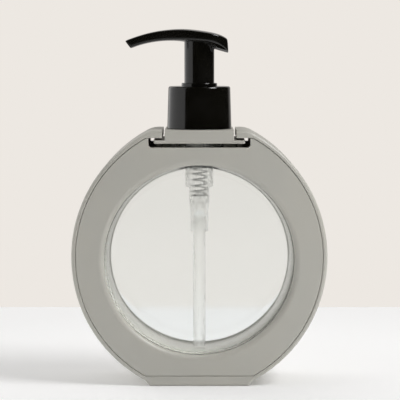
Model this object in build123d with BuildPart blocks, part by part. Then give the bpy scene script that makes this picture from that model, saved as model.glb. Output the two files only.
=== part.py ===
from build123d import *

import math
import os

# Soap pump dispenser, in millimetres. The origin is the centre of the foot's underside.
# +Z is up, the front face looks along -Y and the spout points along -X.

# Casing: two side arcs that meet a flat top and a flat foot
half_depth = 20.0
arc_radius = 71.75
arc_shift = 6.85
arc_middle = 65.6
casing_top = 130.3
top_corner = 12.0
foot_height = 2.6
foot_half = 25.4
edge_round = 1.6
plate = 3.0

# Seam between the rim and the front cover
rim_wall = 2.15
seam_gap = 0.2
seam_edge = 0.3
rim_floor = 5.1
finger_under = 126.4

# Round windows
window_middle = 64.05
window_radius = 48.4
window_round = 2.8

# Cradle ring and snap pegs
cradle_inner = 50.0
cradle_wall = 2.0
cradle_gap = 0.2
peg_count = 6
peg_circle = 59.2
peg_radius = 2.0
peg_length = 9.0
peg_clearance = 0.1
socket_wall = 1.3

# T-slot and bridge at the top
slot_half = 18.7
slot_low_half = 25.6
slot_floor = 122.9
bridge_bottom = 123.6
bridge_shoulder = 125.3
bridge_top_half = 17.4
bridge_low_half = 22.9
bridge_wall = 2.2
bridge_side_wall = 1.4
bridge_setback = 0.1
bridge_hole = 14.1
bridge_edge = 0.45
notch_floor = 121.6
notch_half = 25.6
notch_corner = 1.6
touch = 0.01
support_thick = 2.0
support_at = 20.6
support_front = 12.0
rib_shoulder = 120.8

# Bottle
drum_radius = 49.6
drum_half = 16.8
drum_round = 5.5
drum_inner_round = 4.0
bottle_wall = 1.5
neck_radius = 12.6
neck_bore = 10.8
lip_height = 147.0
neck_overlap = 4.0
bead_radius = 15.4
bead_height = 2.0
bead_gap = 0.1
thread_radius = 13.75
thread_pitch = 4.2
thread_turns = 1.75
thread_start = 133.6
thread_root = 2.4
thread_crest = 1.0
thread_sink = 0.3

# Closure collar
collar_bottom = 130.6
collar_top = 151.9
collar_bottom_radius = 16.5
collar_top_radius = 15.85
collar_round = 1.0
collar_bore = 14.05
collar_roof = 2.1
collar_hole = 8.55

# Gasket and pump cylinder
gasket_thick = 1.2
gasket_outer = 12.5
gasket_inner = 9.8
flange_thick = 1.4
flange_radius = 12.5
cup_outer = 9.25
cup_inner = 8.45
cup_floor = 131.5
barrel_outer = 7.2
barrel_inner = 6.4
barrel_floor = 100.5
neck_down_outer = 5.2
neck_down_inner = 4.4
neck_down_floor = 91.7
tail_top_outer = 4.7
tail_bottom_outer = 4.5
tail_inner = 3.5
tail_bottom = 77.4
step_wall = 1.2
ball_radius = 2.75
ball_gap = 0.05
seat_top = 85.6
seat_bottom = 83.6
throat_radius = 2.2
throat_bottom = 83.0

# Dip tube
tube_outer = 3.2
tube_inner = 2.4
tube_bottom = 17.2

# Locking ring
ring_radius = 9.1
ring_top = 153.6
ring_bottom = 152.0
ring_round = 0.4
guide_inner = 7.75
guide_floor = 131.6
guide_thick = 2.4
guide_hole = 4.1

# Stroke parts
stem_outer = 4.0
stem_inner = 2.5
stem_top = 170.0
stem_bottom = 130.0
piston_radius = 6.3
piston_waist = 5.7
piston_bore = 2.5
piston_bottom = 123.0
piston_top = 129.9
piston_lip = 1.6
piston_lip_thin = 0.7
piston_lip_slope = 0.8
shank_radius = 2.4
shank_top = 139.0
flute_count = 4
flute_width = 1.0
flute_depth = 0.9
poppet_radius = 4.3
poppet_top = 122.9
poppet_bottom = 120.5
poppet_round = 0.5
pin_radius = 2.7
pin_bottom = 115.5

# Spring and ball cage
wire_radius = 0.45
spring_outer = 4.15
spring_bottom = 94.9
spring_top = 120.4
spring_turns = 8.5
cage_radius = 4.3
cage_bottom = 92.4
cage_pin_top = 98.5
cage_bore = 1.2
cage_leg_outer = 3.4
cage_leg_inner = 2.3
cage_leg_bottom = 89.0
cage_slot = 1.6
cage_pin_round = 0.5
cage_spring_gap = 0.1

# Actuator head
skirt_outer = 7.65
skirt_inner = 6.65
skirt_bottom = 149.0
skirt_joint = 175.0
boss_outer = 5.5
boss_bottom = 160.0
head_half_width = 10.0
head_back_centre = 5.1
head_nose_top = (-37.7, 175.1)
head_crown = ((-26.7, 179.2), (-9.7, 181.2), (5.1, 179.5))
head_top_back = (17.0, 175.2)
head_low_back = (17.0, 167.4)
head_tail_root = (7.0, 170.9)
head_belly = ((-3.0, 174.0), (-12.3, 175.5), (-19.9, 175.3), (-29.5, 172.5))
head_nose_low = (-35.0, 171.2)
head_plan_height = 168.0
head_plan_rise = 16.0
head_draft = 12.0
head_round = 1.4
spout_end = -39.5
spout_half_width = 4.6
spout_shoulder = -17.0
spout_shoulder_half = 5.6
spout_bore = 1.5
spout_bore_height = 178.0
spout_bend = -20.0
spout_mouth = (-38.5, 0.0, 172.3)

casing_depth = 2 * half_depth
inner_face = half_depth - plate
seam_radius = arc_radius - rim_wall
flange_bottom = lip_height + gasket_thick
flange_top = flange_bottom + flange_thick
bead_top = casing_top - bridge_wall - bead_gap

front_plane = Plane.XZ.offset(half_depth)
rear_plane = Plane.XZ.offset(-half_depth)


def arc_outline(radius, low, high):
    """Adds the two side arcs, cut flat at a low and a high level, to the sketch being built."""
    with Locations((-arc_shift, arc_middle)):
        Circle(radius)
    with Locations((arc_shift, arc_middle)):
        Circle(radius, mode=Mode.INTERSECT)
    with Locations((0, (low + high) / 2)):
        Rectangle(3 * radius, high - low, mode=Mode.INTERSECT)


def arc_half_width(radius, level):
    """Half the width between the side arcs at a level."""
    return math.sqrt(radius**2 - (level - arc_middle) ** 2) - arc_shift


def rectangle_between(left, right, low, high, mode=Mode.ADD):
    """Adds or cuts a rectangle given by its sides in the sketch being built."""
    with Locations(((left + right) / 2, (low + high) / 2)):
        Rectangle(right - left, high - low, mode=mode)


def ring_between(outer, inner, low, high, mode=Mode.ADD):
    """Adds or cuts an upright tube on the pump's axis in the part being built."""
    with BuildSketch(Plane.XY.offset(low)) as section:
        Circle(outer)
        if inner:
            Circle(inner, mode=Mode.SUBTRACT)
    extrude(section.sketch, amount=high - low, mode=mode)


# Rear housing: outer rim, foot, rear plate, cradle for the bottle and sockets for the pegs
with BuildPart() as rear_housing:
    foot_top_half = arc_half_width(arc_radius, foot_height)
    with BuildSketch(rear_plane):
        arc_outline(arc_radius, foot_height, casing_top)
        with BuildLine():
            Polyline(
                (-foot_half, 0),
                (foot_half, 0),
                (foot_top_half, foot_height),
                (-foot_top_half, foot_height),
                close=True,
            )
        make_face()
    extrude(amount=casing_depth)
    fillet(rear_housing.edges().filter_by(Axis.Y).group_by(Axis.Z)[-1], top_corner)
    outer_faces = rear_housing.faces().filter_by(Axis.Y)
    fillet(outer_faces.edges(), edge_round)

    with BuildSketch(front_plane):
        arc_outline(seam_radius, rim_floor, finger_under)
    extrude(amount=plate - casing_depth, mode=Mode.SUBTRACT)
    rim_face = rear_housing.faces().filter_by(Axis.Y).sort_by(Axis.Y)[0]
    fillet(rim_face.inner_wires()[0].edges(), seam_edge)
    # cradle, sockets and the two ribs that carry the bridge
    with BuildSketch(Plane.XZ.offset(-inner_face)):
        with Locations((0, window_middle)):
            Circle(cradle_inner + cradle_wall)
            with PolarLocations(peg_circle, peg_count):
                Circle(peg_radius + peg_clearance + socket_wall)
        for side in (-1, 1):
            left = side * support_at - support_thick / 2
            rectangle_between(left, left + support_thick, window_middle, rib_shoulder)
        with Locations((0, window_middle)):
            Circle(cradle_inner, mode=Mode.SUBTRACT)
            with PolarLocations(peg_circle, peg_count):
                Circle(peg_radius + peg_clearance, mode=Mode.SUBTRACT)
    extrude(amount=2 * inner_face - cradle_gap)
    with BuildSketch(Plane.XZ.offset(-inner_face)):
        for side in (-1, 1):
            left = side * support_at - support_thick / 2
            rectangle_between(left, left + support_thick, rib_shoulder, bridge_bottom)
    extrude(amount=inner_face + support_front)
    # the neck's way through the cradle
    with BuildSketch(front_plane):
        rectangle_between(-slot_half, slot_half, window_middle + window_radius, bridge_bottom)
    extrude(amount=plate - casing_depth, mode=Mode.SUBTRACT)
    # T-slot for the bridge, and the window
    with BuildSketch(rear_plane):
        rectangle_between(-slot_half, slot_half, slot_floor, casing_top + plate)
        rectangle_between(-slot_low_half, slot_low_half, slot_floor, finger_under)
        with Locations((0, window_middle)):
            Circle(window_radius)
    extrude(amount=plate, mode=Mode.SUBTRACT)
    with BuildSketch(rear_plane):
        rectangle_between(-slot_half, slot_half, bridge_bottom, casing_top + plate)
    extrude(amount=casing_depth, mode=Mode.SUBTRACT)
    rear_face = rear_housing.faces().filter_by(Axis.Y).sort_by(Axis.Y)[-1]
    fillet(rear_face.inner_wires()[0].edges(), window_round)
rear_housing.part.label = "rear_housing"

# Front cover: ring plate set into the rim, with a notch under the bridge and six snap pegs
with BuildPart() as front_cover:
    with BuildSketch(front_plane) as cover_outline:
        arc_outline(seam_radius - seam_gap, rim_floor + seam_gap, finger_under - seam_gap)
        rectangle_between(-notch_half, notch_half, notch_floor, casing_top, Mode.SUBTRACT)
        floor_corners = cover_outline.vertices().filter_by_position(
            Axis.Y, notch_floor - touch, notch_floor + touch
        )
        fillet(floor_corners, notch_corner)
        with Locations((0, window_middle)):
            Circle(window_radius, mode=Mode.SUBTRACT)
    extrude(amount=-plate)
    cover_face = front_cover.faces().filter_by(Axis.Y).sort_by(Axis.Y)[0]
    fillet(cover_face.outer_wire().edges(), seam_edge)
    cover_face = front_cover.faces().filter_by(Axis.Y).sort_by(Axis.Y)[0]
    fillet(cover_face.inner_wires()[0].edges(), window_round)
    with BuildSketch(Plane.XZ.offset(inner_face)):
        with Locations((0, window_middle)):
            with PolarLocations(peg_circle, peg_count):
                Circle(peg_radius)
    extrude(amount=-peg_length)
front_cover.part.label = "front_cover"

# Neck bridge: T-shaped block, hollow underneath, that the neck stands up through
with BuildPart() as neck_bridge:
    bridge_depth = casing_depth - 2 * bridge_setback
    with BuildSketch(Plane.XZ.offset(half_depth - bridge_setback)):
        rectangle_between(-bridge_low_half, bridge_low_half, bridge_bottom, bridge_shoulder)
        rectangle_between(-bridge_top_half, bridge_top_half, bridge_bottom, casing_top)
    extrude(amount=-bridge_depth)
    fillet(neck_bridge.faces().filter_by(Axis.Y).edges(), bridge_edge)
    with BuildSketch(Plane.XY.offset(bridge_bottom)):
        Rectangle(
            2 * (bridge_top_half - bridge_side_wall),
            bridge_depth - 2 * bridge_wall,
        )
    extrude(amount=casing_top - bridge_wall - bridge_bottom, mode=Mode.SUBTRACT)
    with BuildSketch(Plane.XY.offset(bridge_bottom)):
        Circle(bridge_hole)
    extrude(amount=casing_top, mode=Mode.SUBTRACT)
neck_bridge.part.label = "neck_bridge"

# Bottle: flat drum on its edge, with a threaded neck and a bead that the bridge holds down
drum_plane = Plane.XY.offset(window_middle)
drum_axis = Axis((0, 0, window_middle), (0, 1, 0))


def drum(radius, half, corner, mode):
    """Turns a rounded drum about the window's axis in the part being built."""
    with BuildSketch(drum_plane) as profile:
        rectangle_between(0, radius, -half, half)
        fillet(profile.vertices().group_by(Axis.X)[-1], corner)
    revolve(profile.sketch, axis=drum_axis, mode=mode)


with BuildPart() as bottle:
    drum(drum_radius, drum_half, drum_round, Mode.ADD)
    neck_root = window_middle + window_radius - neck_overlap
    ring_between(neck_radius, 0, neck_root, lip_height)
    ring_between(bead_radius, 0, bead_top - bead_height, bead_top)
    inner_radius = drum_radius - bottle_wall
    drum(inner_radius, drum_half - bottle_wall, drum_inner_round, Mode.SUBTRACT)
    ring_between(neck_bore, 0, neck_root, lip_height, Mode.SUBTRACT)
    thread_depth = thread_radius - neck_radius + thread_sink
    thread_path = Helix(
        pitch=thread_pitch,
        height=thread_pitch * thread_turns,
        radius=thread_radius - thread_depth,
        center=(0, 0, thread_start),
    )
    start_plane = Plane(origin=thread_path @ 0, x_dir=(1, 0, 0), z_dir=thread_path % 0)
    with BuildSketch(start_plane):
        with BuildLine():
            Polyline(
                (0, -thread_root / 2),
                (thread_depth, -thread_crest / 2),
                (thread_depth, thread_crest / 2),
                (0, thread_root / 2),
                close=True,
            )
        make_face()
    sweep(path=thread_path, is_frenet=True)
bottle.part.label = "bottle"

# Closure collar: smooth tapered screw cap with a round hole for the locking ring
with BuildPart() as closure_collar:
    with BuildSketch(Plane.XZ):
        with BuildLine():
            Polyline(
                (0, collar_bottom),
                (collar_bottom_radius, collar_bottom),
                (collar_top_radius, collar_top),
                (0, collar_top),
                close=True,
            )
        make_face()
    revolve(axis=Axis.Z)
    fillet(closure_collar.edges().group_by(Axis.Z)[-1], collar_round)
    ring_between(collar_bore, 0, collar_bottom, collar_top - collar_roof, Mode.SUBTRACT)
    ring_between(collar_hole, 0, collar_bottom, collar_top, Mode.SUBTRACT)
closure_collar.part.label = "closure_collar"

# Gasket between the lip and the cylinder's flange
with BuildPart() as gasket:
    ring_between(gasket_outer, gasket_inner, lip_height, flange_bottom)
gasket.part.label = "gasket"

# Pump cylinder: flange, cup, barrel, narrow neck and tail, stepped inside and out
with BuildPart() as pump_cylinder:
    with BuildSketch(Plane.XZ):
        with BuildLine():
            Polyline(
                (cup_inner, flange_top),
                (flange_radius, flange_top),
                (flange_radius, flange_bottom),
                (cup_outer, flange_bottom),
                (cup_outer, cup_floor - step_wall),
                (barrel_outer, cup_floor - step_wall),
                (barrel_outer, barrel_floor),
                (neck_down_outer, barrel_floor),
                (neck_down_outer, neck_down_floor),
                (tail_top_outer, neck_down_floor),
                (tail_bottom_outer, tail_bottom),
                (tube_outer, tail_bottom),
                (tube_outer, throat_bottom),
                (throat_radius, throat_bottom),
                (throat_radius, seat_bottom),
                (tail_inner, seat_top),
                (tail_inner, neck_down_floor + step_wall / 2),
                (neck_down_inner, neck_down_floor + step_wall / 2),
                (neck_down_inner, barrel_floor + step_wall),
                (barrel_inner, barrel_floor + step_wall),
                (barrel_inner, cup_floor),
                (cup_inner, cup_floor),
                close=True,
            )
        make_face()
    revolve(axis=Axis.Z)
pump_cylinder.part.label = "pump_cylinder"

# Dip tube, pushed into the cylinder's tail
with BuildPart() as dip_tube:
    ring_between(tube_outer, tube_inner, tube_bottom, throat_bottom)
dip_tube.part.label = "dip_tube"

# Check ball, just off its cone seat
with BuildPart() as check_ball:
    seat_slope = (tail_inner - throat_radius) / (seat_top - seat_bottom)
    rise = (ball_radius * math.hypot(1, seat_slope) - throat_radius) / seat_slope
    with Locations((0, 0, seat_bottom + rise + ball_gap)):
        Sphere(ball_radius)
check_ball.part.label = "check_ball"

# Ball cage: spring seat with a centring pin above and a slotted skirt over the ball
with BuildPart() as ball_cage:
    ring_between(cage_radius, 0, cage_bottom, spring_bottom - cage_spring_gap)
    ring_between(pin_radius, 0, cage_bottom, cage_pin_top)
    ring_between(cage_leg_outer, cage_leg_inner, cage_leg_bottom, cage_bottom)
    ring_between(cage_bore, 0, cage_bottom, cage_pin_top, Mode.SUBTRACT)
    with BuildSketch(Plane.XY.offset(cage_leg_bottom)):
        Rectangle(2 * cage_radius, cage_slot)
        Rectangle(cage_slot, 2 * cage_radius)
    extrude(amount=(cage_bottom - cage_leg_bottom) / 2, mode=Mode.SUBTRACT)
    pin_rim = ball_cage.edges().group_by(Axis.Z)[-1].sort_by(SortBy.RADIUS)[-1]
    fillet(pin_rim, cage_pin_round)
ball_cage.part.label = "ball_cage"

# Spring
with BuildPart() as spring:
    coil_radius = spring_outer - wire_radius
    coil_low = spring_bottom + wire_radius
    coil_high = spring_top - wire_radius
    coil = Helix(
        pitch=(coil_high - coil_low) / spring_turns,
        height=coil_high - coil_low,
        radius=coil_radius,
        center=(0, 0, coil_low),
    )
    with BuildSketch(Plane(origin=coil @ 0, x_dir=(1, 0, 0), z_dir=coil % 0)):
        Circle(wire_radius)
    sweep(path=coil, is_frenet=True)
spring.part.label = "spring"

# Locking ring: flange on the collar, tube down into the cup and a guide for the stem
with BuildPart() as locking_ring:
    ring_between(ring_radius, guide_inner, ring_bottom, ring_top)
    fillet(locking_ring.edges().group_by(Axis.Z)[-1], ring_round)
    ring_between(cup_inner, guide_inner, guide_floor, ring_bottom)
    ring_between(cup_inner, guide_hole, guide_floor, guide_floor + guide_thick)
locking_ring.part.label = "locking_ring"

# Piston with a sealing lip at each end
with BuildPart() as piston:
    with BuildSketch(Plane.XZ):
        with BuildLine():
            Polyline(
                (piston_bore, piston_bottom),
                (piston_radius - piston_lip_thin, piston_bottom),
                (piston_radius, piston_bottom + piston_lip / 2),
                (piston_radius, piston_bottom + piston_lip),
                (piston_waist, piston_bottom + piston_lip + piston_lip_slope),
                (piston_waist, piston_top - piston_lip - piston_lip_slope),
                (piston_radius, piston_top - piston_lip),
                (piston_radius, piston_top - piston_lip / 2),
                (piston_radius - piston_lip_thin, piston_top),
                (piston_bore, piston_top),
                close=True,
            )
        make_face()
    revolve(axis=Axis.Z)
piston.part.label = "piston"

# Plunger seat: fluted shank up into the stem, poppet under the piston and a pin for the spring
with BuildPart() as plunger_seat:
    ring_between(shank_radius, 0, poppet_bottom, shank_top)
    with BuildSketch(Plane.XY.offset(poppet_top)):
        with PolarLocations(shank_radius, flute_count):
            Rectangle(2 * flute_depth, flute_width)
    extrude(amount=shank_top - poppet_top, mode=Mode.SUBTRACT)
    ring_between(poppet_radius, 0, poppet_bottom, poppet_top)
    ring_between(pin_radius, 0, pin_bottom, poppet_bottom)
    fillet(plunger_seat.edges().group_by(Axis.Z)[0], poppet_round)
plunger_seat.part.label = "plunger_seat"

# Actuator stem
with BuildPart() as actuator_stem:
    ring_between(stem_outer, stem_inner, stem_bottom, stem_top)
actuator_stem.part.label = "actuator_stem"

# Actuator head: drafted pad with spout and drooping tail, on the stem tube
with BuildPart() as actuator_head:
    with BuildSketch(Plane.XZ.offset(head_half_width)):
        with BuildLine():
            crown = Spline(head_nose_top, *head_crown, head_top_back)
            back = Line(crown @ 1, head_low_back)
            Line(back @ 1, head_tail_root)
            Spline(head_tail_root, *head_belly, head_nose_low)
            Line(head_nose_low, head_nose_top)
        make_face()
    extrude(amount=-2 * head_half_width)
    with BuildSketch(Plane.XY.offset(head_plan_height)):
        with BuildLine():
            right = Spline(
                (head_back_centre, head_half_width),
                (spout_shoulder, spout_shoulder_half),
                (spout_end, spout_half_width),
                tangents=[(-1, 0), (-1, 0)],
            )
            left = Spline(
                (spout_end, -spout_half_width),
                (spout_shoulder, -spout_shoulder_half),
                (head_back_centre, -head_half_width),
                tangents=[(1, 0), (1, 0)],
            )
            Line(right @ 1, left @ 0)
            ThreePointArc(left @ 1, (head_back_centre + head_half_width, 0), right @ 0)
        make_face()
    extrude(amount=head_plan_rise, taper=head_draft, mode=Mode.INTERSECT)
    fillet(actuator_head.edges(), head_round)
    ring_between(skirt_outer, skirt_inner, skirt_bottom, skirt_joint)
    ring_between(boss_outer, stem_outer, boss_bottom, stem_top)
    ring_between(boss_outer, 0, stem_top, skirt_joint)
    ring_between(stem_inner, 0, stem_top, spout_bore_height, Mode.SUBTRACT)
    with BuildSketch(Plane.YZ):
        with Locations((0, spout_bore_height)):
            Circle(spout_bore)
    extrude(amount=spout_bend, mode=Mode.SUBTRACT)
    bend = Vector(spout_bend, 0, spout_bore_height)
    mouth = Vector(*spout_mouth)
    with BuildSketch(Plane(origin=mouth, z_dir=bend - mouth)):
        Circle(spout_bore)
    extrude(amount=(bend - mouth).length, mode=Mode.SUBTRACT)
actuator_head.part.label = "actuator_head"

os.makedirs("parts", exist_ok=True)
nodes = (
    rear_housing,
    front_cover,
    neck_bridge,
    bottle,
    closure_collar,
    gasket,
    pump_cylinder,
    dip_tube,
    check_ball,
    ball_cage,
    spring,
    locking_ring,
    piston,
    plunger_seat,
    actuator_stem,
    actuator_head,
)
for node in nodes:
    export_step(node.part, f"parts/{node.part.label}.step")
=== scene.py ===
import math

import bpy
import bmesh
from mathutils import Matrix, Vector


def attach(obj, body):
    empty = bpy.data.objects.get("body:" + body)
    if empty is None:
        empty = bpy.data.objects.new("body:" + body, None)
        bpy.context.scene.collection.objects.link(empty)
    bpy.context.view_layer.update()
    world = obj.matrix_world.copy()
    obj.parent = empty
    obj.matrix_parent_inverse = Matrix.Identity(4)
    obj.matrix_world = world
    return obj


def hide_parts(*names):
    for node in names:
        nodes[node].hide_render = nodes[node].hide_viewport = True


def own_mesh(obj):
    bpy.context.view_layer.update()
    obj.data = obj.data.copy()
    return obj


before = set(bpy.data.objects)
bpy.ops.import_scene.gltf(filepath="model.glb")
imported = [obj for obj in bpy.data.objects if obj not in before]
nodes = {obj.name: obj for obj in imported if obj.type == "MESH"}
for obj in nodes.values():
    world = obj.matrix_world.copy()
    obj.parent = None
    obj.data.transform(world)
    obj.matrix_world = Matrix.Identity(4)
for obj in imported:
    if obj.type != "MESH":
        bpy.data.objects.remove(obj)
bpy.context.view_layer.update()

# Soap pump dispenser. Metres, +Z up, front along -Y, spout along -X.
mm = 0.001
softDetail = 1.0  # noise detail of slow waves
fineDetail = 3.0  # and of fine grain
rimAngle = 60  # edges sharper than this, in degrees, count as rims
faceWeight = 100  # how far big faces outweigh small ones in normals
scene = bpy.context.scene


class Wire:  # one output socket, so that shader maths reads as plain sums
    def __init__(self, finish, socket):
        self.finish = finish
        self.socket = socket

    def maths(self, operation, first, second=None):
        return self.finish.node("ShaderNodeMath", {"operation": operation}, {0: first, 1: second})

    def __add__(self, other):
        return self.maths("ADD", self, other)

    def __radd__(self, other):
        return self.maths("ADD", other, self)

    def __sub__(self, other):
        return self.maths("SUBTRACT", self, other)

    def __rsub__(self, other):
        return self.maths("SUBTRACT", other, self)

    def __mul__(self, other):
        return self.maths("MULTIPLY", self, other)

    def __rmul__(self, other):
        return self.maths("MULTIPLY", other, self)


class Finish:  # one material or world and its nodes
    def __init__(self, owner):
        self.owner = owner
        owner.use_nodes = True
        self.tree = owner.node_tree
        self.tree.nodes.clear()

    def node(self, kind, settings=None, sockets=None, output=0):
        made = self.tree.nodes.new(kind)
        for key, value in (settings or {}).items():
            setattr(made, key, value)
        for key, value in (sockets or {}).items():
            if isinstance(value, Wire):
                self.tree.links.new(value.socket, made.inputs[key])
            elif value is not None:
                made.inputs[key].default_value = value
        return Wire(self, made.outputs[output])

    def place(self, centre=(0, 0, 0), scale=(1, 1, 1)):  # object coordinates, centred on a piece
        coordinates = self.node("ShaderNodeTexCoord", output="Object")
        return self.node(
            "ShaderNodeMapping",
            {"vector_type": "TEXTURE"},
            {"Vector": coordinates, "Location": centre, "Scale": scale},
        )

    def noise(self, vector, size, detail=2.0):  # size of one blotch, in metres
        sockets = {"Vector": vector, "Scale": 1 / size, "Detail": detail}
        return self.node("ShaderNodeTexNoise", {}, sockets)

    def span(self, value, low, high, fromLow=0.35, fromHigh=0.65):
        sockets = {"Value": value, "From Min": fromLow, "From Max": fromHigh}
        sockets.update({"To Min": low, "To Max": high})
        return self.node("ShaderNodeMapRange", {}, sockets)

    def tint(self, factor, first, second):  # sockets 6 and 7 are the two colours
        return self.node(
            "ShaderNodeMix",
            {"data_type": "RGBA"},
            {"Factor": factor, 6: first, 7: second},
            output=2,
        )

    def bump(self, height, distance, strength=1.0, under=None):
        return self.node(
            "ShaderNodeBump",
            {},
            {"Height": height, "Distance": distance, "Strength": strength, "Normal": under},
        )

    def show(self, shader):
        isWorld = isinstance(self.owner, bpy.types.World)
        kind = "ShaderNodeOutputWorld" if isWorld else "ShaderNodeOutputMaterial"
        target = self.tree.nodes.new(kind)
        self.tree.links.new(shader.socket, target.inputs["Surface"])


def newFinish(name):
    return Finish(bpy.data.materials.new(name))


def dress(piece, finish):
    piece.data.materials.clear()
    piece.data.materials.append(finish.owner)


# Finishes
casingLook = {
    "colour": (0.49, 0.482, 0.438, 1),
    "warmer": (0.504, 0.492, 0.442, 1),
    "centre": (0, 0, 0.065),
    "cloud": 30 * mm,
    "grain": 0.35 * mm,
    "grainDepth": 0.012 * mm,
    "wave": 14 * mm,
    "waveDepth": 0.02 * mm,
    "index": 1.5,
    "roughness": (0.36, 0.46),
}


def makeCasingPlastic():
    finish = newFinish("greigePlastic")
    place = finish.place(casingLook["centre"])
    cloud = finish.noise(place, casingLook["cloud"])
    grain = finish.noise(place, casingLook["grain"], fineDetail)
    wave = finish.noise(place, casingLook["wave"], softDetail)
    waves = finish.bump(wave, casingLook["waveDepth"])
    colour = finish.tint(finish.span(cloud, 0, 1), casingLook["colour"], casingLook["warmer"])
    shader = finish.node(
        "ShaderNodeBsdfPrincipled",
        {},
        {
            "Base Color": colour,
            "Roughness": finish.span(grain, *casingLook["roughness"]),
            "IOR": casingLook["index"],
            "Normal": finish.bump(grain, casingLook["grainDepth"], under=waves),
        },
    )
    finish.show(shader)
    return finish


blackLook = {
    "colour": (0.0028, 0.0026, 0.0018, 1),
    "dusty": (0.0042, 0.0038, 0.0030, 1),
    "centre": (0, 0, 0.155),
    "cloud": 9 * mm,
    "peel": 1.6 * mm,
    "peelDepth": 0.004 * mm,
    "index": 1.5,
    "roughness": (0.09, 0.15),
}


def makeBlackPlastic():
    finish = newFinish("blackPlastic")
    place = finish.place(blackLook["centre"])
    cloud = finish.noise(place, blackLook["cloud"], fineDetail)
    peel = finish.noise(place, blackLook["peel"], softDetail)
    colour = finish.tint(finish.span(cloud, 0, 1), blackLook["colour"], blackLook["dusty"])
    shader = finish.node(
        "ShaderNodeBsdfPrincipled",
        {},
        {
            "Base Color": colour,
            "Roughness": finish.span(cloud, *blackLook["roughness"]),
            "IOR": blackLook["index"],
            "Normal": finish.bump(peel, blackLook["peelDepth"]),
        },
    )
    finish.show(shader)
    return finish


clearLook = {
    "colour": (0.950, 0.965, 0.962, 1),
    "thin": (0.954, 0.967, 0.964, 1),
    "lampTint": (0.97, 0.975, 0.975, 1),
    "roughness": 0.08,
    "index": 1.5,
    "centre": (0, 0, 0.064),
    "flow": 22 * mm,
    "flowDepth": 0.02 * mm,
}


def letLampsThrough(finish, shader, colour):
    path = finish.node("ShaderNodeLightPath", output="Is Shadow Ray")
    clear = finish.node("ShaderNodeBsdfTransparent", {}, {"Color": colour})
    return finish.node("ShaderNodeMixShader", {}, {0: path, 1: shader, 2: clear})


def makeClearPlastic():
    finish = newFinish("clearPlastic")
    place = finish.place(clearLook["centre"])
    flow = finish.noise(place, clearLook["flow"], softDetail)
    colour = finish.tint(finish.span(flow, 0, 1), clearLook["colour"], clearLook["thin"])
    shader = finish.node(
        "ShaderNodeBsdfPrincipled",
        {},
        {
            "Base Color": colour,
            "Roughness": clearLook["roughness"],
            "IOR": clearLook["index"],
            "Transmission Weight": 1.0,
            "Normal": finish.bump(flow, clearLook["flowDepth"]),
        },
    )
    finish.show(letLampsThrough(finish, shader, clearLook["lampTint"]))
    return finish


ballLook = {
    "colour": (0.96, 0.97, 0.968, 1),
    "tinged": (0.93, 0.955, 0.95, 1),
    "lampTint": (0.9, 0.92, 0.92, 1),
    "centre": (0, 0, 0.0875),
    "swirl": 2 * mm,
    "roughness": 0.02,
    "index": 1.5,
}


def makeBallGlass():
    finish = newFinish("ballGlass")
    place = finish.place(ballLook["centre"])
    swirl = finish.noise(place, ballLook["swirl"], softDetail)
    colour = finish.tint(finish.span(swirl, 0, 1), ballLook["colour"], ballLook["tinged"])
    shader = finish.node(
        "ShaderNodeBsdfPrincipled",
        {},
        {
            "Base Color": colour,
            "Roughness": ballLook["roughness"],
            "IOR": ballLook["index"],
            "Transmission Weight": 1.0,
        },
    )
    finish.show(letLampsThrough(finish, shader, ballLook["lampTint"]))
    return finish


naturalLook = {
    "centre": (0, 0, 0.09),
    "stretch": (1, 1, 6),
    "streak": 1.2 * mm,
    "streakDepth": 0.004 * mm,
    "clearness": 0.90,
    "alpha": 0.55,
    "index": 1.2,
    "lampTint": (0.8, 0.8, 0.79, 1),
    "colour": (0.985, 0.99, 0.982, 1),
    "cloudy": (0.95, 0.955, 0.947, 1),
    "roughness": (0.25, 0.35),
}


def makeNaturalPlastic():
    finish = newFinish("naturalPlastic")
    place = finish.place(naturalLook["centre"], naturalLook["stretch"])
    streak = finish.noise(place, naturalLook["streak"])
    colour = finish.tint(finish.span(streak, 0, 1), naturalLook["colour"], naturalLook["cloudy"])
    shader = finish.node(
        "ShaderNodeBsdfPrincipled",
        {},
        {
            "Base Color": colour,
            "Roughness": finish.span(streak, *naturalLook["roughness"]),
            "IOR": naturalLook["index"],
            "Transmission Weight": naturalLook["clearness"],
            "Alpha": naturalLook["alpha"],
            "Normal": finish.bump(streak, naturalLook["streakDepth"]),
        },
    )
    finish.show(letLampsThrough(finish, shader, naturalLook["lampTint"]))
    return finish


whiteLook = {
    "centre": (0, 0, 0.13),
    "cloud": 3 * mm,
    "cloudDepth": 0.01 * mm,
    "colour": (0.80, 0.79, 0.75, 1),
    "lighter": (0.86, 0.855, 0.82, 1),
    "roughness": (0.32, 0.48),
}


def makeWhitePlastic():
    finish = newFinish("whitePlastic")
    place = finish.place(whiteLook["centre"])
    cloud = finish.noise(place, whiteLook["cloud"])
    colour = finish.tint(finish.span(cloud, 0, 1), whiteLook["colour"], whiteLook["lighter"])
    shader = finish.node(
        "ShaderNodeBsdfPrincipled",
        {},
        {
            "Base Color": colour,
            "Roughness": finish.span(cloud, *whiteLook["roughness"]),
            "Normal": finish.bump(cloud, whiteLook["cloudDepth"]),
        },
    )
    finish.show(shader)
    return finish


foamLook = {
    "centre": (0, 0, 0.1476),
    "cell": 0.5 * mm,
    "colour": (0.88, 0.88, 0.86, 1),
    # darker colour for the low pits of the foam's bump: painted shade in the pits
    "paintedPitShade": (0.70, 0.70, 0.68, 1),
    "pitDepth": 0.12 * mm,
    "roughness": 0.9,
}


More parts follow.
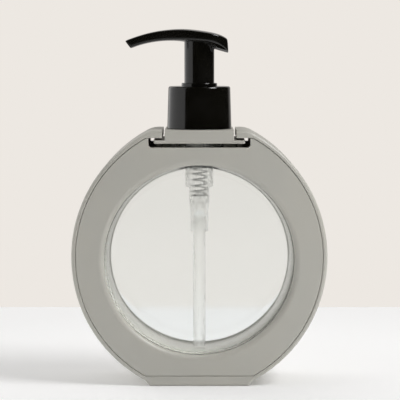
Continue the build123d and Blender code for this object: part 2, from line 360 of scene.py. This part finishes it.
def makeFoam():
    finish = newFinish("whiteFoam")
    place = finish.place(foamLook["centre"])
    cellSockets = {"Vector": place, "Scale": 1 / foamLook["cell"]}
    cells = finish.node("ShaderNodeTexVoronoi", {"feature": "F1"}, cellSockets)
    shader = finish.node(
        "ShaderNodeBsdfPrincipled",
        {},
        {
            # colour darkens towards the cell edges, where the bump is lowest: painted shade in
            # the pits
            "Base Color": finish.tint(cells, foamLook["colour"], foamLook["paintedPitShade"]),
            "Roughness": foamLook["roughness"],
            "Normal": finish.bump(1 - cells, foamLook["pitDepth"]),
        },
    )
    finish.show(shader)
    return finish


steelLook = {
    "centre": (0, 0, 0.107),
    "drawn": 0.4 * mm,
    "drawnDepth": 0.004 * mm,
    "colour": (0.36, 0.355, 0.34, 1),
    "brighter": (0.52, 0.51, 0.49, 1),
    "roughness": (0.18, 0.34),
}


def makeSteel():
    finish = newFinish("springSteel")
    place = finish.place(steelLook["centre"])
    drawn = finish.noise(place, steelLook["drawn"], fineDetail)
    colour = finish.tint(finish.span(drawn, 0, 1), steelLook["colour"], steelLook["brighter"])
    shader = finish.node(
        "ShaderNodeBsdfPrincipled",
        {},
        {
            "Base Color": colour,
            "Metallic": 1.0,
            "Roughness": finish.span(drawn, *steelLook["roughness"]),
            "Normal": finish.bump(drawn, steelLook["drawnDepth"]),
        },
    )
    finish.show(shader)
    return finish


casingPlastic = makeCasingPlastic()
blackPlastic = makeBlackPlastic()
clearPlastic = makeClearPlastic()
ballGlass = makeBallGlass()
naturalPlastic = makeNaturalPlastic()
whitePlastic = makeWhitePlastic()
whiteFoam = makeFoam()
springSteel = makeSteel()
print("finishes made")

# CAD nodes, also the three replaced below
dressedNodes = {
    "rear_housing": casingPlastic,
    "front_cover": casingPlastic,
    "neck_bridge": casingPlastic,
    "bottle": clearPlastic,
    "closure_collar": blackPlastic,
    "locking_ring": blackPlastic,
    "actuator_head": blackPlastic,
    "pump_cylinder": naturalPlastic,
    "dip_tube": naturalPlastic,
    "gasket": whiteFoam,
    "actuator_stem": whitePlastic,
    "piston": whitePlastic,
    "plunger_seat": whitePlastic,
    "ball_cage": naturalPlastic,
    "check_ball": ballGlass,
    "spring": springSteel,
}
for name, finish in dressedNodes.items():
    dress(nodes[name], finish)
print("nodes dressed")


# Making pieces by hand
def beginPiece():
    if bpy.context.object and bpy.context.object.mode == "EDIT":
        bpy.ops.object.mode_set(mode="OBJECT")
    bpy.ops.object.select_all(action="DESELECT")


def pick(piece, chosen):  # selects just these vertices of the piece being edited
    mesh = bmesh.from_edit_mesh(piece.data)
    mesh.select_mode = {"VERT"}
    mesh.verts.ensure_lookup_table()
    wanted = set(chosen)
    for face in mesh.faces:
        face.select = False
    for edge in mesh.edges:
        edge.select = False
    for vertex in mesh.verts:
        vertex.select = vertex.index in wanted
    mesh.select_flush(True)
    bmesh.update_edit_mesh(piece.data)


def pickedPlaces(piece):
    mesh = bmesh.from_edit_mesh(piece.data)
    return {v.index: v.co.copy() for v in mesh.verts if v.select}


def applyAll(piece):
    beginPiece()
    bpy.context.view_layer.objects.active = piece
    piece.select_set(True)
    for modifier in list(piece.modifiers):
        bpy.ops.object.modifier_apply(modifier=modifier.name)


def combine(piece, tool, operation):  # "UNION" or "DIFFERENCE"; the tool is used up
    modifier = piece.modifiers.new("join", "BOOLEAN")
    modifier.operation = operation
    modifier.solver = "EXACT"
    modifier.object = tool
    applyAll(piece)
    bpy.data.objects.remove(tool)


def addBevel(piece, width, steps, angle):
    bevel = piece.modifiers.new("rims", "BEVEL")
    bevel.width = width
    bevel.segments = steps
    bevel.limit_method = "ANGLE"
    bevel.angle_limit = math.radians(angle)


def smooth(piece, angle):
    beginPiece()
    bpy.context.view_layer.objects.active = piece
    piece.select_set(True)
    bpy.ops.object.shade_smooth_by_angle(angle=math.radians(angle))


def evenNormals(piece):  # big faces decide the shading at their edges
    modifier = piece.modifiers.new("weights", "WEIGHTED_NORMAL")
    modifier.keep_sharp = True
    modifier.weight = faceWeight
    applyAll(piece)


# Head: drooping pad and spout on a thick stem tube
headShape = {
    # top x, low x, half width, top, side's lower edge, keel, all in mm
    "stations": (
        (-37.9, -35.1, 4.5, 175.2, 171.4, 171.1),
        (-33.4, -31.6, 4.6, 176.9, 172.9, 172.5),
        (-27.8, -27.2, 4.8, 178.7, 174.1, 173.7),
        (-21.6, -21.4, 5.2, 180.1, 175.2, 174.8),
        (-15.0, -15.0, 5.9, 180.9, 175.6, 175.2),
        (-9.5, -9.5, 7.2, 181.2, 175.6, 174.9),
        (-4.5, -4.5, 8.8, 181.0, 175.5, 174.0),
        (0.5, 0.5, 9.8, 180.4, 175.2, 172.8),
        (5.0, 5.0, 10.0, 179.7, 174.8, 171.5),
        (9.2, 9.2, 9.1, 178.8, 173.6, 170.3),
        (12.4, 12.6, 6.8, 177.5, 171.8, 169.4),
        (14.4, 14.9, 3.6, 176.0, 170.0, 168.8),
    ),
    "rows": 6,
    "startDepth": 5 * mm,
    # share of the half width, share of the drop of the rows beyond it
    "crown": ((0.99, 1.0), (0.6, 0.38), (0.3, 0.1)),
    "crownBand": (-0.02, 0.15),
    "crownDrop": 0.9 * mm,
    "crownHalf": 10 * mm,
    "edge": 0.55 * mm,
    "edgeSteps": 2,
    "edgeAngle": 38,
    "levels": 2,
    "smoothAngle": 40,
    "stemRadius": 7.65 * mm,
    "stemWall": 1.0 * mm,
    "stemBottom": 149.0 * mm,
    "stemTop": 176.0 * mm,
    "stemRoof": 4 * mm,
    "stemEdge": 0.25 * mm,
    "stemSides": 128,
    "spoutBore": 1.3 * mm,
    "spoutDepth": 8 * mm,
    "spoutTip": (-36.5 * mm, 0, 173.2 * mm),
    "spoutTilt": 58.5,
    "spoutSides": 48,
}


def makePad():
    stations = headShape["stations"]
    rows = headShape["rows"]
    bandLow, bandHigh = headShape["crownBand"]
    beginPiece()
    bpy.ops.mesh.primitive_grid_add(
        x_subdivisions=len(stations) - 1, y_subdivisions=rows, size=2, location=(0, 0, 0)
    )
    pad = bpy.context.object
    pad.name = "head"
    bpy.ops.object.mode_set(mode="EDIT")
    bpy.ops.mesh.select_all(action="SELECT")
    sheet = pickedPlaces(pad)
    columns = sorted({round(place.x, 4) for place in sheet.values()})
    for x, station in zip(columns, stations):
        topX, lowX, half, top, side, keel = [value * mm for value in station]
        column = [i for i, place in sheet.items() if round(place.x, 4) == x]
        pick(pad, column)
        bpy.ops.transform.resize(value=(1, half, 1), center_override=(x, 0, 0))
        bpy.ops.transform.translate(value=(topX - x, 0, top))
        for reach, share in headShape["crown"]:
            band = [i for i in column if reach + bandLow <= abs(sheet[i].y) < reach + bandHigh]
            drop = share * headShape["crownDrop"] * half / headShape["crownHalf"]
            pick(pad, band)
            bpy.ops.transform.translate(value=(0, 0, -drop))
    bpy.ops.mesh.select_all(action="SELECT")
    bpy.ops.mesh.extrude_region_move(
        TRANSFORM_OT_translate={"value": (0, 0, -headShape["startDepth"])}
    )
    low = pickedPlaces(pad)
    order = sorted(low, key=lambda i: low[i].x)
    perColumn = rows + 1
    for number, station in enumerate(stations):
        topX, lowX, half, top, side, keel = [value * mm for value in station]
        column = order[number * perColumn:(number + 1) * perColumn]
        for i in column:
            aside = abs(low[i].y) / half
            height = keel + (side - keel) * aside**2
            pick(pad, [i])
            bpy.ops.transform.translate(value=(lowX - low[i].x, 0, height - low[i].z))
    bpy.ops.mesh.select_all(action="SELECT")
    bpy.ops.mesh.normals_make_consistent(inside=False)
    bpy.ops.object.mode_set(mode="OBJECT")
    addBevel(pad, headShape["edge"], headShape["edgeSteps"], headShape["edgeAngle"])
    rounding = pad.modifiers.new("rounding", "SUBSURF")
    rounding.levels = rounding.render_levels = headShape["levels"]
    applyAll(pad)
    return pad


def makeStemTube():
    low = headShape["stemBottom"]
    height = headShape["stemTop"] - low
    middle = low + height / 2
    beginPiece()
    bpy.ops.mesh.primitive_cylinder_add(
        vertices=headShape["stemSides"],
        radius=headShape["stemRadius"],
        depth=height,
        location=(0, 0, middle),
    )
    tube = bpy.context.object
    bpy.ops.object.transform_apply(location=True, rotation=True, scale=True)
    bpy.ops.object.mode_set(mode="EDIT")
    bpy.ops.mesh.select_all(action="SELECT")
    ring = [i for i, place in pickedPlaces(tube).items() if place.z < middle]
    pick(tube, ring)
    bpy.ops.mesh.inset(thickness=headShape["stemWall"])
    bpy.ops.mesh.extrude_region_move(
        TRANSFORM_OT_translate={"value": (0, 0, height - headShape["stemRoof"])}
    )
    bpy.ops.object.mode_set(mode="OBJECT")
    addBevel(tube, headShape["stemEdge"], headShape["edgeSteps"], rimAngle)
    applyAll(tube)
    return tube


def makeSpoutBore():
    beginPiece()
    bpy.ops.mesh.primitive_cylinder_add(
        vertices=headShape["spoutSides"],
        radius=headShape["spoutBore"],
        depth=headShape["spoutDepth"],
        location=headShape["spoutTip"],
        rotation=(0, math.radians(headShape["spoutTilt"]), 0),
    )
    return bpy.context.object


head = makePad()
combine(head, makeStemTube(), "UNION")
combine(head, makeSpoutBore(), "DIFFERENCE")
smooth(head, headShape["smoothAngle"])
evenNormals(head)
beginPiece()
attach(head, "head")
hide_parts("actuator_head")
dress(head, blackPlastic)
print("head made")

# Spring with flat closed ends
springShape = {
    "wire": 0.36 * mm,
    "coil": 3.76 * mm,
    "low": 95.35 * mm,
    "high": 119.95 * mm,
    "closedTurns": 1.0,
    "closedPitch": 0.93 * mm,
    "openTurns": 7.5,
    "stepsATurn": 48,
    "wireSides": 14,
    "smoothAngle": 60,
}
weldGap = 0.02 * mm


def coilRun(shape, height, turns, pitch, start=0):  # start in turns
    beginPiece()
    bpy.ops.mesh.primitive_circle_add(
        vertices=shape["wireSides"],
        radius=shape["wire"],
        location=(shape["coil"], 0, 0),
        rotation=(math.pi / 2, 0, 0),
    )
    run = bpy.context.object
    bpy.ops.object.transform_apply(location=True, rotation=True, scale=True)
    screw = run.modifiers.new("winding", "SCREW")
    screw.angle = 2 * math.pi * turns
    screw.screw_offset = turns * pitch
    screw.steps = screw.render_steps = round(shape["stepsATurn"] * turns)
    screw.use_merge_vertices = False
    applyAll(run)
    run.rotation_euler = (0, 0, start * 2 * math.pi)
    run.location = (0, 0, height)
    run.select_set(True)
    bpy.ops.object.transform_apply(location=True, rotation=True, scale=True)
    return run


def closeEnds(wire):
    beginPiece()
    bpy.context.view_layer.objects.active = wire
    bpy.ops.object.mode_set(mode="EDIT")
    bpy.ops.mesh.select_all(action="SELECT")
    bpy.ops.mesh.remove_doubles(threshold=weldGap)
    bpy.ops.mesh.select_all(action="DESELECT")
    bpy.ops.mesh.select_non_manifold()
    bpy.ops.mesh.edge_face_add()
    bpy.ops.mesh.select_all(action="SELECT")
    bpy.ops.mesh.normals_make_consistent(inside=False)
    bpy.ops.object.mode_set(mode="OBJECT")


def makeSpring():
    shape = springShape
    closed = shape["closedTurns"]
    opened = shape["openTurns"]
    rise = shape["closedPitch"] * closed
    openRise = shape["high"] - shape["low"] - 2 * rise
    runs = [
        coilRun(shape, shape["low"], closed, shape["closedPitch"]),
        coilRun(shape, shape["low"] + rise, opened, openRise / opened, closed),
        coilRun(shape, shape["high"] - rise, closed, shape["closedPitch"], closed + opened),
    ]
    beginPiece()
    for run in runs:
        run.select_set(True)
    bpy.context.view_layer.objects.active = runs[0]
    bpy.ops.object.join()
    spring = bpy.context.object
    spring.name = "spring_coil"
    closeEnds(spring)
    smooth(spring, shape["smoothAngle"])
    return spring


coil = makeSpring()
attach(coil, "pump")
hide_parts("spring")
dress(coil, springSteel)
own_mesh(coil)
print("spring made")

# Bottle: smooth round drum with a threaded neck
bottleShape = {
    "middle": 64.05 * mm,
    "outer": {"radius": 49.6 * mm, "half": 16.8 * mm, "round": 5.5 * mm},
    "inner": {"radius": 48.1 * mm, "half": 15.3 * mm, "round": 4.0 * mm},
    "sides": 256,
    "roundSteps": 10,
    "neckRadius": 12.6 * mm,
    "neckBore": 10.8 * mm,
    "neckRoot": 108.45 * mm,
    "lip": 147.0 * mm,
    "lipEdge": 0.3 * mm,
    "beadRadius": 15.4 * mm,
    "beadTop": 128.0 * mm,
    "beadHeight": 2.0 * mm,
    "neckSides": 128,
    "lipSteps": 3,
    "beadSteps": 2,
    "smoothAngle": 35,
    "overshoot": 2 * mm,
}
threadShape = {"wire": 1.0 * mm, "coil": 12.75 * mm, "wireSides": 16, "stepsATurn": 72}
threadRun = {"height": 133.6 * mm, "turns": 1.75, "pitch": 4.2 * mm}


def makeRod(radius, low, high, edge=0, steps=1):  # upright round rod, its rims rounded
    beginPiece()
    bpy.ops.mesh.primitive_cylinder_add(
        vertices=bottleShape["neckSides"],
        radius=radius,
        depth=high - low,
        location=(0, 0, (low + high) / 2),
    )
    rod = bpy.context.object
    bpy.ops.object.transform_apply(location=True, rotation=True, scale=True)
    if edge:
        addBevel(rod, edge, steps, rimAngle)
        applyAll(rod)
    return rod


def makeDrum(size):
    beginPiece()
    bpy.ops.mesh.primitive_cylinder_add(
        vertices=bottleShape["sides"],
        radius=size["radius"],
        depth=2 * size["half"],
        location=(0, 0, bottleShape["middle"]),
        rotation=(math.pi / 2, 0, 0),
    )
    drum = bpy.context.object
    bpy.ops.object.transform_apply(location=True, rotation=True, scale=True)
    addBevel(drum, size["round"], bottleShape["roundSteps"], rimAngle)
    applyAll(drum)
    return drum


def makeBottle():
    shape = bottleShape
    made = makeDrum(shape["outer"])
    made.name = "bottle_round"
    root = shape["neckRoot"]
    edge = shape["lipEdge"]
    neck = makeRod(shape["neckRadius"], root, shape["lip"], edge, shape["lipSteps"])
    combine(made, neck, "UNION")
    beadLow = shape["beadTop"] - shape["beadHeight"]
    bead = makeRod(shape["beadRadius"], beadLow, shape["beadTop"], edge, shape["beadSteps"])
    combine(made, bead, "UNION")
    thread = coilRun(threadShape, **threadRun)
    closeEnds(thread)
    combine(made, thread, "UNION")
    combine(made, makeDrum(shape["inner"]), "DIFFERENCE")
    bore = makeRod(shape["neckBore"], root, shape["lip"] + shape["overshoot"])
    combine(made, bore, "DIFFERENCE")
    smooth(made, shape["smoothAngle"])
    evenNormals(made)
    return made


clearBottle = makeBottle()
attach(clearBottle, "casing")
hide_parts("bottle")
dress(clearBottle, clearPlastic)
print("bottle made")

# Table
tableLook = {
    "backEdge": 0.2247,
    "reach": 1.5,
    "colour": (0.90, 0.90, 0.905, 1),
    "glow": 0.1,
    "cloud": 0.12,
    "roughness": (0.5, 0.6),
    "gloss": 0.2,
}
bpy.ops.object.select_all(action="DESELECT")
bpy.ops.mesh.primitive_plane_add(size=1)
table = bpy.context.object
table.name = "table"
table.scale = (2 * tableLook["reach"], tableLook["reach"] + tableLook["backEdge"], 1)
table.location = (0, (tableLook["backEdge"] - tableLook["reach"]) / 2, 0)
bpy.ops.object.transform_apply(location=True, rotation=True, scale=True)
tableFinish = newFinish("whiteTable")
tablePlace = tableFinish.place()
tableCloud = tableFinish.noise(tablePlace, tableLook["cloud"])
tableFinish.show(
    tableFinish.node(
        "ShaderNodeBsdfPrincipled",
        {},
        {
            "Base Color": tableLook["colour"],
            "Roughness": tableFinish.span(tableCloud, *tableLook["roughness"]),
            "Specular IOR Level": tableLook["gloss"],
            "Emission Color": tableLook["colour"],
            "Emission Strength": tableLook["glow"],
        },
    )
)
dress(table, tableFinish)
print("table laid")

# Camera
cameraLook = {
    "place": (0.00034, -0.7964, 0.170),
    "pitch": 5.5,
    "lens": 139.47,
    "sensor": 36,
    "near": 0.01,
}
cameraData = bpy.data.cameras.new("camera")
cameraData.lens = cameraLook["lens"]
cameraData.sensor_width = cameraLook["sensor"]
cameraData.clip_start = cameraLook["near"]
camera = bpy.data.objects.new("camera", cameraData)
scene.collection.objects.link(camera)
camera.location = cameraLook["place"]
camera.rotation_euler = (math.radians(90 - cameraLook["pitch"]), 0, 0)
scene.camera = camera

# Light
lightLook = {
    "wall": (0.847, 0.807, 0.761, 1),
    "ambient": (0.80, 0.79, 0.77, 1),
    "ambientFront": (0.02, 0.02, 0.02, 1),
    "front": (0.006, 0.006, 0.006, 1),
    "glossBack": (0.50, 0.48, 0.46, 1),
    # where along Y the front's value turns into the back's
    "glossTurn": (0.62, 0.9),
    "ambientTurn": (-0.6, 0.4),
}
lamps = {
    # name: place, aim, width, height, watts, seen in gloss, lights matt surfaces
    "key": ((0.68, -0.275, 0.96), (0, 0, 0.08), 0.42, 0.42, 6.9, True, True),
    "leftCard": ((-0.62, 0.33, 0.30), (0.0, 0.33, 0.30), 1.6, 1.1, 5.0, True, True),
    "rightFill": ((0.30, -0.33, 0.04), (0, 0, 0.03), 0.20, 0.06, 0.32, False, True),
    "sparkle": ((0.68, -0.275, 0.96), (0, 0, 0.15), 0.35, 0.35, 4.5, True, False),
}


def makeLamp(name, place, aim, width, height, watts, inGloss, inMatt):
    data = bpy.data.lights.new(name, "AREA")
    data.shape = "RECTANGLE"
    data.size = width
    data.size_y = height
    data.energy = watts
    lamp = bpy.data.objects.new(name, data)
    scene.collection.objects.link(lamp)
    lamp.location = place
    lamp.rotation_euler = (Vector(aim) - Vector(place)).to_track_quat("-Z", "Y").to_euler()
    lamp.visible_camera = False
    lamp.visible_transmission = False
    lamp.visible_glossy = inGloss
    lamp.visible_diffuse = inMatt


for name, values in lamps.items():
    makeLamp(name, *values)

sky = Finish(bpy.data.worlds.new("studio"))
scene.world = sky.owner
direction = sky.node("ShaderNodeTexCoord", output="Generated")
depth = sky.node("ShaderNodeSeparateXYZ", {}, {"Vector": direction}, output="Y")
behind = sky.span(depth, 0, 1, *lightLook["glossTurn"])
around = sky.span(depth, 0, 1, *lightLook["ambientTurn"])
glossColour = sky.tint(behind, lightLook["front"], lightLook["glossBack"])
through = sky.node("ShaderNodeLightPath", output="Is Transmission Ray")
glossy = sky.node("ShaderNodeLightPath", output="Is Glossy Ray") * (1 - through)
diffuse = sky.node("ShaderNodeLightPath", output="Is Diffuse Ray")
ambient = sky.tint(around, lightLook["ambientFront"], lightLook["ambient"])
colour = sky.tint(diffuse, sky.tint(glossy, lightLook["wall"], glossColour), ambient)
sky.show(sky.node("ShaderNodeBackground", {}, {"Color": colour, "Strength": 1.0}))
scene.view_settings.view_transform = "Standard"
print("lights set")
